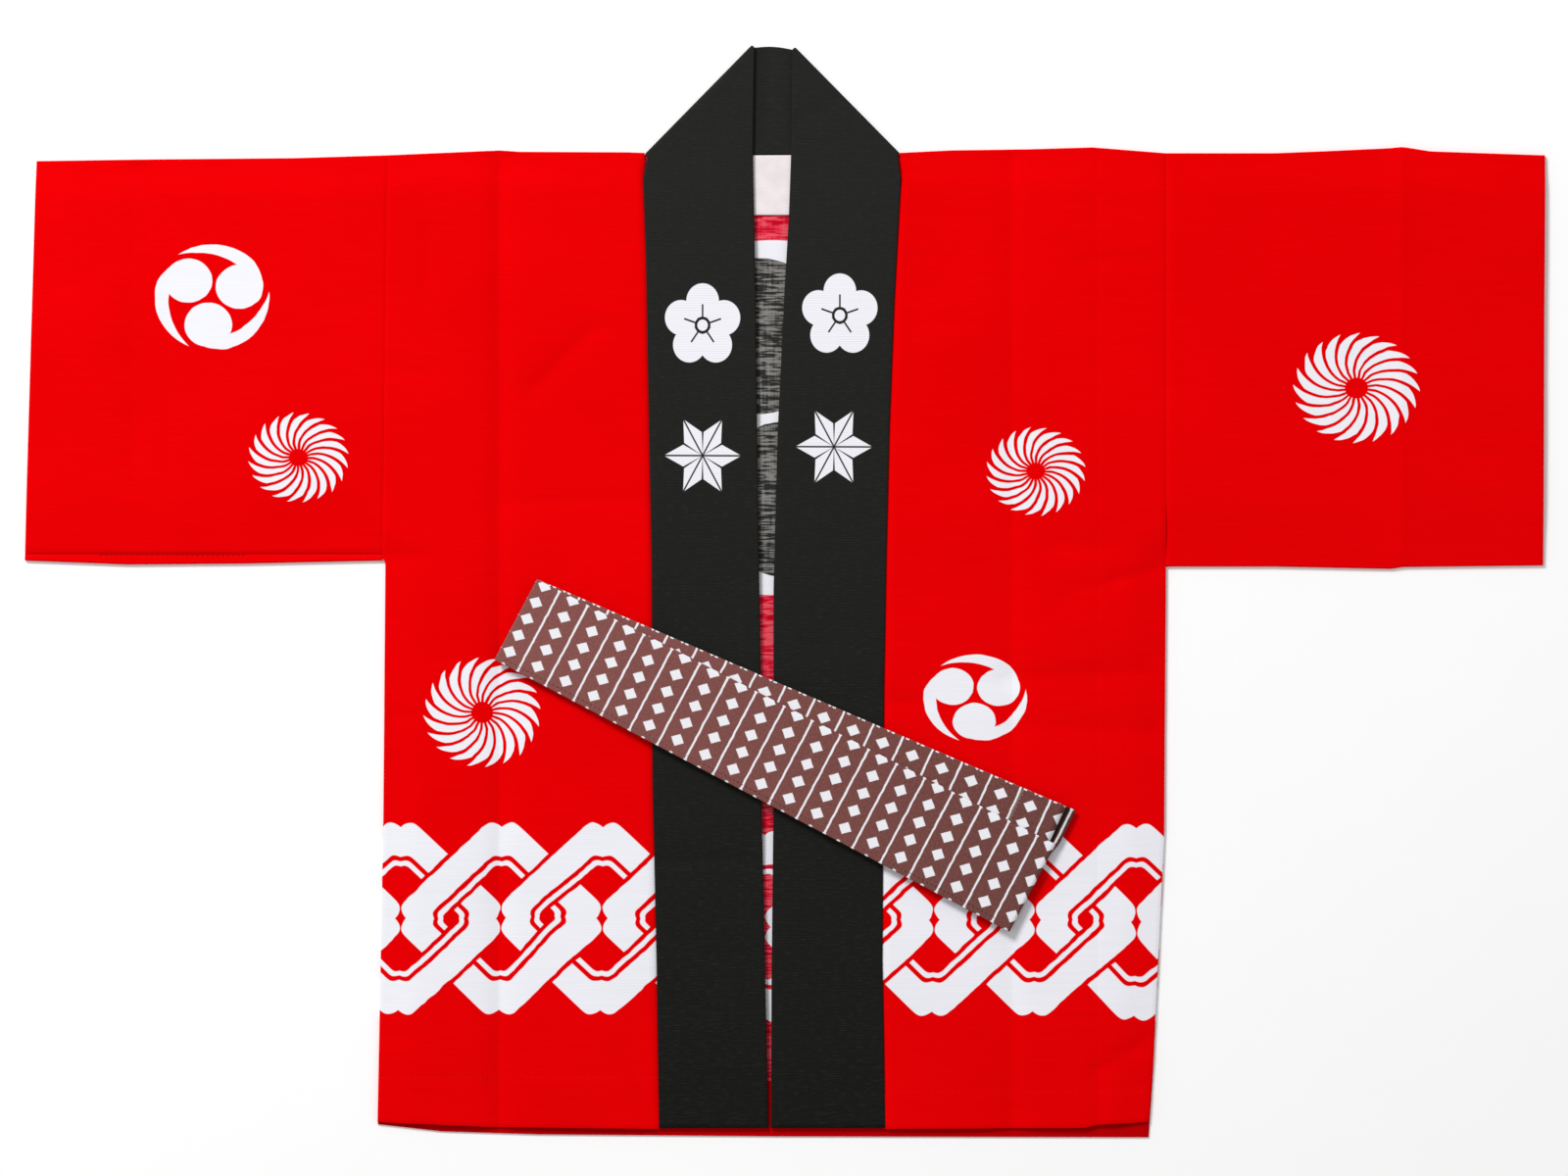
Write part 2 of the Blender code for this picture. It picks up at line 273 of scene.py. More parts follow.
def whirl(x, y, crest):
    # claws parted by thin lines that bend clockwise towards the rim, round a bare middle
    size = (crest["wide"] + crest["high"]) / 2
    sector = 2 * math.pi / crest["count"]
    r, angle = polar(x, y, crest)
    bend = larger(r - claws["straight"], 0.0) ** claws["bendPower"] * claws["bend"] - crest["start"]
    share = ((angle + bend) / sector) % 1.0
    line = smaller(share, 1 - share) * r * (sector * size) - claws["gap"] - r**3.0
    rim = 1 - share ** claws["tipPower"] * claws["tip"]
    return smaller(line, (rim - r) * size, (r - claws["eye"]) * size)


def blossom(x, y, crest):  # five round petals, a ringed eye and a short stroke down each petal
    size = crest["wide"]
    r, angle = polar(x, y, crest)
    turn = abs((angle - crest["start"]) % (math.tau / 5) - math.tau / 10)
    along, aside = r * turn.math("COSINE", turn), r * turn.math("SINE", turn)
    petal = 0.42 - ((along - 0.58) * (along - 0.58) + aside * aside) ** 0.5
    stroke = larger(aside - 0.022, along - 0.5)
    eye = abs(r - 0.17) - 0.035
    return smaller(larger(petal, 0.2 - r), larger(stroke, 0.15 - r), eye) * size


def hempLeaf(x, y, crest):  # six long diamonds that meet at their points, each with its midrib left bare
    size = crest["wide"]
    r, angle = polar(x, y, crest)
    turn = abs((angle - crest["start"]) % (math.tau / 6) - math.tau / 12)
    along, aside = r * turn.math("COSINE", turn), r * turn.math("SINE", turn)
    leaf = (0.5 - abs(along - 0.5)) * 0.52 - aside
    return smaller(leaf, aside - 0.02) * size


def lobes(across, half):  # two bulges side by side, 0 to 1 high
    away = (abs(across) - half) / half
    return larger(1 - away * away, 0.0)


def chainEdge(x, y, edge):
    # above 0 inside a diamond whose four points are cut off in two lobes, its corners rounded
    sides = (edge["side"] - abs(x) * chain["slope"] - abs(y)) / chain["slant"]
    ends = lobes(x, chain["lobe"]) * edge["endLobe"] + edge["end"] - abs(y)
    flanks = lobes(y, chain["lobe"]) * edge["flankLobe"] + edge["flank"] - abs(x)
    corner = sides.math("SMOOTH_MIN", sides, ends, chain["rounding"])
    return corner.math("SMOOTH_MIN", corner, flanks, chain["rounding"])


def chainBand(x, y):
    # links one pitch apart, each two pitches long, so two cross everywhere: the one whose side
    # leans to the right lies on top, within a bare line
    along = x % chain["pitch"]
    upper = y > 0.0
    near, far = chain["thinLine"]
    bare, reach = chain["cover"]
    masks = []
    for side in (upper, 1 - upper):
        outer = chainEdge(along - side * chain["pitch"], y, chain["outer"])
        hole = chainEdge(along - side * chain["pitch"], y, chain["inner"])
        thick = inked(smaller(outer, 0.0 - hole), 0.4)
        thin = inked(smaller(hole - near, far - hole), 0.4)
        masks.append((larger(thick, thin), inked(smaller(outer + bare, reach - hole), 0.4)))
    (top, cover), (under, _) = masks
    return larger(top, under * (1 - cover))


# Outline of the coat

outline = {
    "shoulder": [
        (-251.1, 277.1), (-179.8, 280.2), (-167.4, 279.3), (-99.2, 279.0), (-88.0, 278.6),
        (73.0, 278.6), (105.4, 280.2), (155.0, 280.9), (195.3, 282.1), (241.8, 278.4),
    ],
    "backHem": [(-257.0, -336.5), (-217.0, -341.0), (-155.0, -342.9), (-6.2, -344.1), (230.6, -344.7)],
    "frontHem": [
        (-257.3, -334.8), (-186.0, -337.9), (-79.4, -339.1), (64.0, -339.1), (190.0, -338.5),
        (198.4, -336.5), (230.6, -334.8),
    ],
    "rightSide": [(-344.0, -257.3), (-145.7, -253.6), (18.6, -252.3), (20.5, -254.2), (277.1, -251.1)],
    "leftSide": [(-344.0, 230.6), (-300.7, 233.7), (-158.1, 240.6), (17.4, 241.8), (278.4, 241.8)],
    "rightStripOuter": [
        (-339.1, -79.0), (-232.5, -80.6), (-120.9, -83.1), (18.6, -83.7), (102.3, -85.4),
        (213.9, -87.4), (262.0, -89.2), (276.0, -86.6),
    ],
    "rightStripInner": [
        (-339.1, -9.9), (-244.9, -11.8), (-145.7, -13.9), (-58.9, -14.7), (102.3, -17.0),
        (189.1, -18.0), (275.9, -19.6), (345.2, -18.7),
    ],
    "leftStripOuter": [
        (-339.1, 64.2), (-232.5, 62.2), (-65.1, 63.2), (18.6, 64.6), (102.3, 66.6), (186.0, 69.8),
        (262.0, 74.0), (276.5, 71.8),
    ],
    "leftStripInner": [
        (-339.1, -8.3), (-244.9, -7.9), (-145.7, -6.8), (3.1, -6.6), (102.3, -4.0), (189.1, 0.2),
        (238.7, 3.1), (275.9, 4.4), (343.9, 5.4),
    ],
}

# How the cloth lies

lay = {
    "wall": 0.8,
    "back": 0.4,  # middle of the layer on the surface
    "fold": 0.75,  # radius at a fold
    "loft": 1.6,
    "loftReach": 25.0,
    "hemReach": 60.0,
    "seamReach": 2.6,
    "upper": 1.2,  # every point of an upper layer lies above this
    "underarm": 18.6,
    "rightHem": -306.9,  # where the turned-up hems are stitched
    "leftHem": -315.6,
    "rightRow": 24.4,  # the stitched row above the right sleeve's underside
}
lay["inset"] = lay["fold"] + lay["wall"] / 2
lay["edge"] = lay["back"] + 2 * lay["fold"]

# x and y of both ends, depth (below 0 where it stands up), then the width on the left or upper side
# and on the right or lower side
creases = [
    (-409.2, 272.2, -371.4, 223.2, 1.5, 2.6, 5.0),
    (-412.3, 251.1, -412.3, 65.1, 0.5, 4.0, 6.0),
    (-403.0, 241.8, -403.0, 108.5, 0.35, 4.0, 4.0),
    (-390.6, 232.5, -390.6, 77.5, 0.35, 5.0, 5.0),
    (-180.4, 282.1, -180.4, -341.0, 1.6, 6.5, 7.5),
    (-225.7, 231.3, -225.7, 184.1, 0.5, 4.0, 4.0),
    (-157.5, 130.2, -119.7, 168.0, 1.2, 8.0, 9.0),
    (-179.8, 57.7, -88.0, 57.7, 0.9, 7.0, 9.0),
    (-248.0, 142.6, -223.2, 136.4, 0.5, 4.0, 4.0),
    (-251.7, 22.9, -227.5, 22.9, 0.8, 4.0, 5.0),
    (-250.5, -78.7, -232.5, -78.7, 0.6, 4.0, 4.0),
    (-250.5, -78.7, -236.2, -119.7, 0.6, 4.0, 4.0),
    (-158.1, -86.8, -93.0, -58.9, -0.6, 14.0, 14.0),
    (-250.5, -281.5, -233.1, -281.5, 0.6, 4.0, 4.0),
    (-101.1, -288.3, -83.7, -331.7, 1.0, 6.0, 6.0),
    (144.5, 282.1, 144.5, -344.1, 1.0, 10.0, 6.0),
    (239.9, 16.1, 208.9, 8.7, 0.9, 3.2, 5.0),
    (208.9, 8.7, 176.7, 0.0, 0.6, 4.0, 6.0),
    (189.7, 210.8, 234.4, 210.8, 0.5, 5.0, 5.0),
    (170.5, 30.4, 204.6, 30.4, 0.9, 6.0, 7.0),
    (140.0, -54.0, 226.0, -50.0, 1.3, 8.0, 10.0),
    (153.1, -84.0, 236.8, -88.0, 1.0, 7.0, 10.0),
    (66.3, -68.8, 87.4, -68.8, 0.9, 5.0, 6.0),
    (124.0, -285.0, 150.0, -330.0, 0.9, 6.0, 8.0),
    (195.9, -303.2, 233.7, -280.2, 0.7, 4.0, 5.0),
    (198.4, -303.2, 198.4, -337.9, 0.6, 4.0, 4.0),
    (390.6, 282.7, 390.6, 14.3, -0.6, 8.0, 6.0),
]
collarCreases = [
    (9.9, 299.5, 37.2, 313.7, 0.7, 3.0, 5.0),
    (-77.5, -168.0, -19.8, -168.0, 0.9, 4.0, 6.0),
    (-74.4, -219.5, -53.3, -219.5, 0.35, 3.5, 5.0),
    (-53.3, -229.4, -18.6, -229.4, 0.35, 3.5, 5.0),
    (-76.3, -262.9, -39.7, -262.9, 0.35, 3.5, 5.0),
    (15.5, -67.0, 62.0, -67.0, 0.6, 7.0, 7.0),
]
pressed = [crease for crease in creases if crease[0] == crease[2] and abs(crease[4]) > 0.5]


def creaseDepth(x, y, table):
    # each crease is a valley that falls off as exp(-distance / width) on either side of its line
    depth = np.zeros(np.broadcast(x, y).shape)
    for x1, y1, x2, y2, deep, near, far in table:
        length = math.hypot(x2 - x1, y2 - y1)
        alongX, alongY = (x2 - x1) / length, (y2 - y1) / length
        along = np.clip((x - x1) * alongX + (y - y1) * alongY, 0, length)
        away = np.hypot(x - x1 - along * alongX, y - y1 - along * alongY)
        # the cross product is below 0 on the right of a line that runs up, and under one that runs right
        side = (alongX * (y - y1) - alongY * (x - x1)) * np.where((x2 > x1) | ((x1 == x2) & (y2 > y1)), 1, -1)
        width = np.where(side > 0, near, far)
        depth += deep * np.exp(-np.sqrt((away / width) ** 2 + 0.04) + 0.2)
    return depth


def ripple(x, y):  # a few long crossed waves, a fifth of a millimetre high
    return (
        0.09 * np.sin(x / 17 + 2 * np.sin(y / 61)) + 0.07 * np.sin(y / 23 + 1.5 * np.sin(x / 47))
        + 0.05 * np.sin((x + y) / 13) + 0.04 * np.sin((x - 2 * y) / 19)
    )


def upperHeight(x, y, fromFold, fromHem):
    # the upper layer rises from its folds and comes down towards its open edges
    rise = ease((fromFold - lay["inset"]) / lay["loftReach"])
    loft = lay["loft"] * between(0.8, 1, ease(fromHem / lay["hemReach"]))
    return lay["edge"] + rise * (loft + ripple(x, y)) - ease(fromFold / 6) * creaseDepth(x, y, creases)


# Red cotton

redCotton = {
    "red": (0.85, 0.0004, 0.002), "redSlub": (0.72, 0.0003, 0.001),
    "white": (0.92, 0.92, 0.97), "whiteSlub": (0.81, 0.81, 0.87),
    "black": (0.014, 0.014, 0.013), "reverse": (0.78, 0.012, 0.05),
    # the last colour below is the turned-up hem's face red, painted darker with the shade that the front's
    # hem casts on it
    "darkReverse": (0.5, 0.003, 0.014), "fleck": (0.72, 0.7, 0.66), "turnedUpShaded": (0.5, 0.0003, 0.002),
    "rib": 1.52, "ribHeight": 0.016, "slubHeight": 0.05, "turnUp": -309.0, "frontZ": 1.15,
    "wanderX": 1.3, "wanderY": 1.1,  # of the printed edges
    "pressed": 0.45, "groove": 0.85, "grooveReach": 1.1,
}
backCrest = {
    "x": -7.1, "y": 111.0, "wide": 105.0, "high": 105.0, "count": 2, "start": 1.75, "at": 0.5,
    "head": 0.47, "tail": 2.5, "inner": 0.8, "disc": 1.07,  # the white disc behind it
}
threeCommas = {"count": 3, "at": 0.52, "head": 0.415, "tail": 1.8, "inner": 0.745}
bodyCrests = {
    "commas": [{"x": 120.9, "y": -66.7, "wide": 32.7, "high": 27.7, "start": 0.49, **threeCommas}],
    "whirls": [
        {"x": 159.3, "y": 76.9, "wide": 31.6, "high": 28.2, "count": 20, "start": -0.029},
        {"x": -191.0, "y": -75.6, "wide": 37.2, "high": 34.7, "count": 20, "start": -0.062},
    ],
}
rightSleeveCrests = {
    "commas": [{"x": -361.8, "y": 186.9, "wide": 36.3, "high": 33.6, "start": 0.395, **threeCommas}],
    "whirls": [{"x": -307.2, "y": 85.6, "wide": 31.9, "high": 28.5, "count": 20, "start": -0.043}],
}
leftSleeveCrests = {
    "commas": [],
    "whirls": [{"x": 362.1, "y": 129.6, "wide": 40.0, "high": 35.0, "count": 20, "start": 0.143}],
}
chain = {
    "pitch": 64.0, "lobe": 7.2, "rounding": 3.6,
    "slope": 0.944, "slant": 1.375,  # of a link's long sides, and their length for each millimetre along
    "thinLine": (2.9, 5.9),  # both its edges, inside the thick line
    "cover": (2.8, 8.7),  # what the top link hides: so far outside it, and so far inside
    # both edges of a link's thick line, and where a link's middle lies
    "outer": {"side": 69.0, "end": 57.8, "endLobe": 3.0, "flank": 60.4, "flankLobe": 3.2},
    "inner": {"side": 45.6, "end": 38.9, "endLobe": 1.2, "flank": 42.9, "flankLobe": 1.5},
    "right": {"x": -178.6, "y": -206.0},
    "left": {"x": 94.9, "y": -206.8},
    "back": {"x": -12.2, "y": -211.4},
    # printed by hand: both rows lean below leanFrom, the left front's lower half droops at its side,
    # and one link of the right front lies off its row
    "leanFrom": -228.0, "lean": 0.045, "droopFrom": 188.0, "droop": 0.08,
    "slip": {"x": -148.0, "y": -212.0, "wide": 24.0, "high": 32.0, "byX": -3.6, "byY": 1.6},
}


def weave(place, y, pitch):
    # even ribs across the cloth, a yarn apart, that wander and fade, and longer thick yarns here and there
    wander = noise(place, (0.012, 0.06, 0.06), 1.0) * 5.0
    strength = noise(place, (0.045, 0.09, 0.09), 2.0, 0.6)
    rib = (y * (math.tau / pitch) + wander).math("SINE", y * (math.tau / pitch) + wander)
    rib = rib * inked(strength - 0.47, 0.35)
    slub = noise(place, (0.03, 0.6, 0.6), 2.0, 0.6)
    return rib, slub


def redMaterial(name, crests, band, inside, grooves=()):
    material, place = startMaterial(name, 0.92, 0.0)
    x, y, z = separate(place)
    rib, slub = weave(place, y, redCotton["rib"])
    cloud = noise(place, (0.009, 0.012, 0.009), 2.0)
    streak = inked((slub - 0.5) * 0.8 + (cloud - 0.5) * 0.9 + rib * 0.05, 1.2)
    ground = tint(streak, redCotton["redSlub"], redCotton["red"])
    pale = tint(streak, redCotton["whiteSlub"], redCotton["white"])
    if inside:  # yarns part the print that shows through, but for the turned-up hem, which is the face, painted darker with the shade under the front's hem
        weft = noise(place, (0.1, 0.75, 0.75), 1.0) + rib * 0.05
        warp = noise(place, (0.6, 0.05, 0.6), 1.0)
        yarn = inked(weft + warp * 0.3 - 0.67, 0.18)
        weak = tint(inked(weft - 0.41, 0.16), redCotton["darkReverse"], redCotton["reverse"])
        reverse = tint(yarn * 0.12, weak, redCotton["fleck"])
        ground = tint(y > redCotton["turnUp"], redCotton["turnedUpShaded"], reverse)
    front = z > redCotton["frontZ"]
    # the printed edges wander by a few tenths of a millimetre
    shift = noise(place, (0.13, 0.13, 0.13), 1.0) - 0.5
    printX, printY = x + shift * redCotton["wanderX"], y - shift * redCotton["wanderY"]
    shapes = [commas(printX, printY, crest) for crest in crests["commas"]]
    shapes += [whirl(printX, printY, crest) for crest in crests["whirls"]]
    white = inked(larger(*shapes)) * front
    colour = tint(white, ground, pale)
    if band:
        onLeft = front * (x > 0.0)
        moveX, moveY = [
            onLeft * (chain["left"][axis] - chain["right"][axis])
            + (1 - front) * (chain["back"][axis] - chain["right"][axis]) for axis in ("x", "y")
        ]
        r, _ = polar(x, y, chain["slip"])
        slip = front * fading(r * r)
        lean = front * smaller(y - chain["leanFrom"], 0.0) * chain["lean"]
        moveX = moveX + slip * chain["slip"]["byX"] + lean
        droop = onLeft * larger(x - chain["droopFrom"], 0.0) * inked(chain["left"]["y"] - y, 40.0)
        moveY = moveY + slip * chain["slip"]["byY"] - droop * chain["droop"]
        dye = chainBand(printX - moveX - chain["right"]["x"], printY - moveY - chain["right"]["y"])
        r, _ = polar(x, y, backCrest)
        disc = inked((backCrest["disc"] - r) * backCrest["wide"]) * (1 - front)
        black = inked(commas(printX, printY, backCrest)) * (1 - front)
        colour = tint(larger(dye, disc) if inside else larger(white, dye, disc), ground, pale)
        ink = redCotton["black"]
        if inside:
            ink = tint(yarn * 0.3 + 0.02, ink, redCotton["fleck"])
        colour = tint(black, colour, ink)
    height = rib * redCotton["ribHeight"] + slub * redCotton["slubHeight"] + cloud * 0.6
    for x1, _, _, _, deep, near, far in pressed:  # sharper than the mesh has them
        away = larger(x1 - x, 0.0) / near + larger(x - x1, 0.0) / far
        height = height - fading(away) * (deep * redCotton["pressed"])
    for level in grooves:  # rows of stitching sink the cloth
        away = abs(y - level) / redCotton["grooveReach"]
        height = height - fading(away) * redCotton["groove"]
    return finishMaterial(material, colour, height)


redBody = redMaterial("redCottonBody", bodyCrests, True, False)
redBodyInside = redMaterial("redCottonBodyInside", bodyCrests, True, True)
redRightSleeve = redMaterial("redCottonRightSleeve", rightSleeveCrests, False, False, [lay["rightRow"]])
redLeftSleeve = redMaterial("redCottonLeftSleeve", leftSleeveCrests, False, False)
redSleeveInside = redMaterial("redCottonSleeveInside", leftSleeveCrests, False, True)
print("red cotton ready")

# Body

bodyGrid = {
    "back": 72, "turn": 7, "front": 208,  # rows up the back, over the shoulder and down the fronts
    "columns": 125, "rightEdge": 58, "leftEdge": 66,  # both fronts' edges are columns
    "low": -341.0, "high": 278.0,
    "tuck": 1.0, "tuckTop": 262.0,  # how far, and up to where, the fronts run under the collar
    "dip": 1.5, "dipReach": 1.7,  # their edges go down below it
    "rightSeam": 0.1, "leftSeam": 0.3, "hemRise": 0.2, "hemGroove": 0.12, "lowest": 1.25,
}


def bodyPoints():
    # rows run up the back, turn over the shoulder on half a circle, and run down the fronts
    low, high = bodyGrid["low"], bodyGrid["high"]
    back, front = np.linspace(low, high, bodyGrid["back"]), np.linspace(high, low, bodyGrid["front"])
    over = np.linspace(0, math.pi, bodyGrid["turn"] + 2)[1:-1]
    pageY = np.concatenate([back, np.full(len(over), high), front])[:, None]
    turn = np.concatenate([np.zeros(len(back)), over, np.full(len(front), math.pi)])[:, None]
    onFront = turn == math.pi
    rightSide, leftSide = readTable(outline["rightSide"], pageY), readTable(outline["leftSide"], pageY)
    covered = np.minimum(pageY, bodyGrid["tuckTop"])
    rightInner = readTable(outline["rightStripOuter"], covered) + bodyGrid["tuck"]
    leftInner = readTable(outline["leftStripOuter"], covered) - bodyGrid["tuck"]
    column = np.arange(bodyGrid["columns"])[None, :]
    right, left, last = bodyGrid["rightEdge"], bodyGrid["leftEdge"], bodyGrid["columns"] - 1
    rightFront = between(rightSide, rightInner, np.clip(column / right, 0, 1))
    leftFront = between(leftSide, leftInner, np.clip((last - column) / (last - left), 0, 1))
    gap = between(rightInner, leftInner, np.clip((column - right) / (left - right), 0, 1))
    x = np.where(column <= right, rightFront, np.where(column >= left, leftFront, gap))
    shoulder = readTable(outline["shoulder"], x)
    hem = np.where(onFront, readTable(outline["frontHem"], x), readTable(outline["backHem"], x))
    y = between(hem, shoulder - lay["inset"], (pageY - low) / (high - low))
    side = np.minimum(x - rightSide, leftSide - x)
    fromSide = np.hypot(side, np.maximum(y - lay["underarm"], 0))
    upper = upperHeight(x, y, np.minimum(shoulder - y, fromSide + lay["inset"]), y - hem)
    seam = np.exp(-((side / lay["seamReach"]) ** 2))
    inner = np.minimum(np.abs(x - rightInner), np.abs(x - leftInner))
    seamDepth = np.where(x < 0, bodyGrid["rightSeam"], bodyGrid["leftSeam"])
    upper = upper - seamDepth * seam * ease((shoulder - y) / 8)
    dip = bodyGrid["dip"] * np.exp(-((inner / bodyGrid["dipReach"]) ** 2))
    upper = upper - dip * ease((shoulder - y) / 14)
    stitched = np.where(x < 0, lay["rightHem"], lay["leftHem"])
    groove = bodyGrid["hemGroove"] * np.exp(-(((y - stitched) / 1.2) ** 2))
    upper = upper + bodyGrid["hemRise"] * ease((stitched - y) / 2) - groove
    turned = lay["back"] + lay["fold"] * (1 - np.cos(turn))
    height = np.where(onFront, np.maximum(upper, bodyGrid["lowest"]), turned)
    y = y + lay["fold"] * np.sin(turn)
    return np.stack(np.broadcast_arrays(x, y, height), axis=-1)


body = bodyPoints()
cells = gridFaces(*body.shape[:2], flip=True)
cellRow, cellColumn = np.divmod(np.arange(len(cells)), bodyGrid["columns"] - 1)
opening = (cellColumn >= bodyGrid["rightEdge"]) & (cellColumn < bodyGrid["leftEdge"])
opening = opening & (cellRow >= bodyGrid["back"] - 1)
bodyCloth = addPiece("body_cloth", body, cells[~opening], [redBody, redBodyInside])
thicken(bodyCloth, lay["wall"], 1)
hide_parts("body")
print("body ready")

# Sleeves

sleeves = {
    "right": {
        "material": redRightSleeve, "way": -1, "armhole": outline["rightSide"], "columns": 77,
        "seam": 0.04, "ridge": 0.75,
        "top": [(-473.1, 273.4), (-409.2, 274.4), (-310.0, 275.3), (-251.1, 277.1)],
        "bottom": [(-480.5, 20.5), (-415.4, 18.0), (-341.0, 18.6), (-254.2, 20.5)],
        "cuff": [(20.5, -480.5), (273.4, -473.1)],
    },
    "left": {
        "material": redLeftSleeve, "way": 1, "armhole": outline["leftSide"], "columns": 80,
        "seam": 0.3, "ridge": 0.12,
        "top": [
            (241.8, 278.4), (310.0, 278.4), (341.0, 279.6), (384.0, 281.6), (391.8, 282.4),
            (409.2, 279.6), (480.5, 277.1),
        ],
        "bottom": [(241.8, 16.7), (310.0, 16.7), (384.4, 15.2), (391.8, 16.4), (480.5, 17.4)],
        "cuff": [(17.4, 480.5), (189.1, 481.1), (277.1, 481.7)],
    },
}
sleeveGrid = {
    "back": 40, "turn": 7, "front": 87, "lowest": 1.3,
    "armholeEnd": 20.5,  # where the armhole's table goes on as the body's side
    "ridgeAt": 4.6, "ridgeReach": 1.1,  # the seam above the underside
}


def sleevePoints(sleeve):
    # rows go round the sleeve: up its back, over the top, down its front and back under
    back, turn, front = sleeveGrid["back"], sleeveGrid["turn"], sleeveGrid["front"]
    turning = np.linspace(0, math.pi, turn + 2)[1:-1]
    share = [np.linspace(0, 1, back), np.ones(turn), np.linspace(1, 0, front), np.zeros(turn)]
    share = np.concatenate(share)[:, None]
    over = np.concatenate([np.zeros(back), turning, np.full(front + turn, math.pi)])[:, None]
    under = np.concatenate([np.zeros(back + turn + front), turning])[:, None]
    onFront = (over == math.pi) & (under == 0)
    pageY = between(sleeve["bottom"][0][1], sleeve["top"][0][1], share)
    outward = np.linspace(0, 1, sleeve["columns"])[None, :]
    armhole = readTable(sleeve["armhole"], np.maximum(pageY, sleeveGrid["armholeEnd"]))
    cuff = readTable(sleeve["cuff"], pageY)
    x = between(armhole - sleeve["way"] * 0.05, cuff, outward)
    top, bottom = readTable(sleeve["top"], x), readTable(sleeve["bottom"], x)
    y = between(bottom + lay["inset"], top - lay["inset"], share)
    # it rises over twice the reach from its lower fold
    upper = upperHeight(x, y, np.minimum(top - y, (y - bottom + lay["inset"]) / 2), np.abs(cuff - x))
    seam = np.exp(-(((x - armhole) / lay["seamReach"]) ** 2))
    upper = upper - sleeve["seam"] * seam * ease((top - y) / 8) * ease((y - bottom) / 8)
    fromRidge = (y - bottom - sleeveGrid["ridgeAt"]) / sleeveGrid["ridgeReach"]
    upper = upper - sleeve["ridge"] * np.exp(-(fromRidge**2))
    turned = lay["back"] + lay["fold"] * (np.cos(under) - np.cos(over))
    height = np.where(onFront, np.maximum(upper, sleeveGrid["lowest"]), turned)
    y = y + lay["fold"] * (np.sin(over) - np.sin(under))
    return np.stack(np.broadcast_arrays(x, y, height), axis=-1)


for side, sleeve in sleeves.items():
    points = sleeve["points"] = sleevePoints(sleeve)
    cells = gridFaces(*points.shape[:2], loop=True, flip=sleeve["way"] > 0)
    cloth = addPiece(f"sleeve_{side}_cloth", points, cells, [sleeve["material"], redSleeveInside])
    thicken(cloth, lay["wall"], 1)
    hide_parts(f"sleeve_{side}")
print("sleeves ready")

# Collar

collar = {
    "half": 1.0,  # half its thickness
    "width": 69.0, "columns": 26,
    "rows": 200, "leanRows": 33, "neckRows": 40, "bendRows": 8,
    "height": 3.6, "hemDrop": 1.1, "neck": 1.0, "hemY": -338.5, "turnY": 205.0, "neckBow": 1.2,
    "sinks": [(-10, 5, 0.85), (6, 3, 0.3)],  # of the neck's upper face beside the strips: x, reach, depth
    "rightFold": [(-86.6, 276.0), (-18.7, 345.2)], "leftFold": [(71.8, 276.5), (5.4, 343.9)],
    "upper": (0.0160, 0.0160, 0.0146), "lower": (0.0080, 0.0080, 0.0069), "slub": (0.04, 0.04, 0.038),
    "white": (0.85, 0.85, 0.9), "mark": {"wide": 24.5, "high": 26.5},
}
collarMarks = [  # shape, x, y and turn
    (blossom, -51.5, 169.3, 0.94), (hempLeaf, -51.5, 86.8, 0.52),
    (blossom, 35.3, 175.5, 0.94), (hempLeaf, 31.6, 92.4, 0.52),
]


def flatTube(middle, normals, width, half, across):
    # each row is a closed loop: out along one face, back along the other, its two edges half round
    inset = np.minimum(np.minimum(across, 1 - across) * width / half, 1)
    lift = normals[:, None] * (half * np.sqrt(1 - (1 - inset) ** 2))[..., None]
    return np.concatenate([middle + lift, (middle - lift)[:, -2:0:-1]], axis=1)


def addTube(name, tube, material, strap=None):  # its closed rows joined, and a cap at both ends
    rows, columns = tube.shape[:2]
    caps = [np.arange(columns), (rows - 1) * columns + np.arange(columns)]
    faces = gridFaces(rows, columns, ring=True)
    return addPiece(name, tube, faces, [material], ends=caps, strap=strap, outward=True)


def edgedShares(count, width, half):  # even shares with extra ones where the edges turn
    edge = half / width * (1 - np.cos(np.linspace(0, math.pi / 2, 5)))
    return np.concatenate([edge, np.linspace(edge[-1], 1 - edge[-1], count)[1:-1], 1 - edge[::-1]])


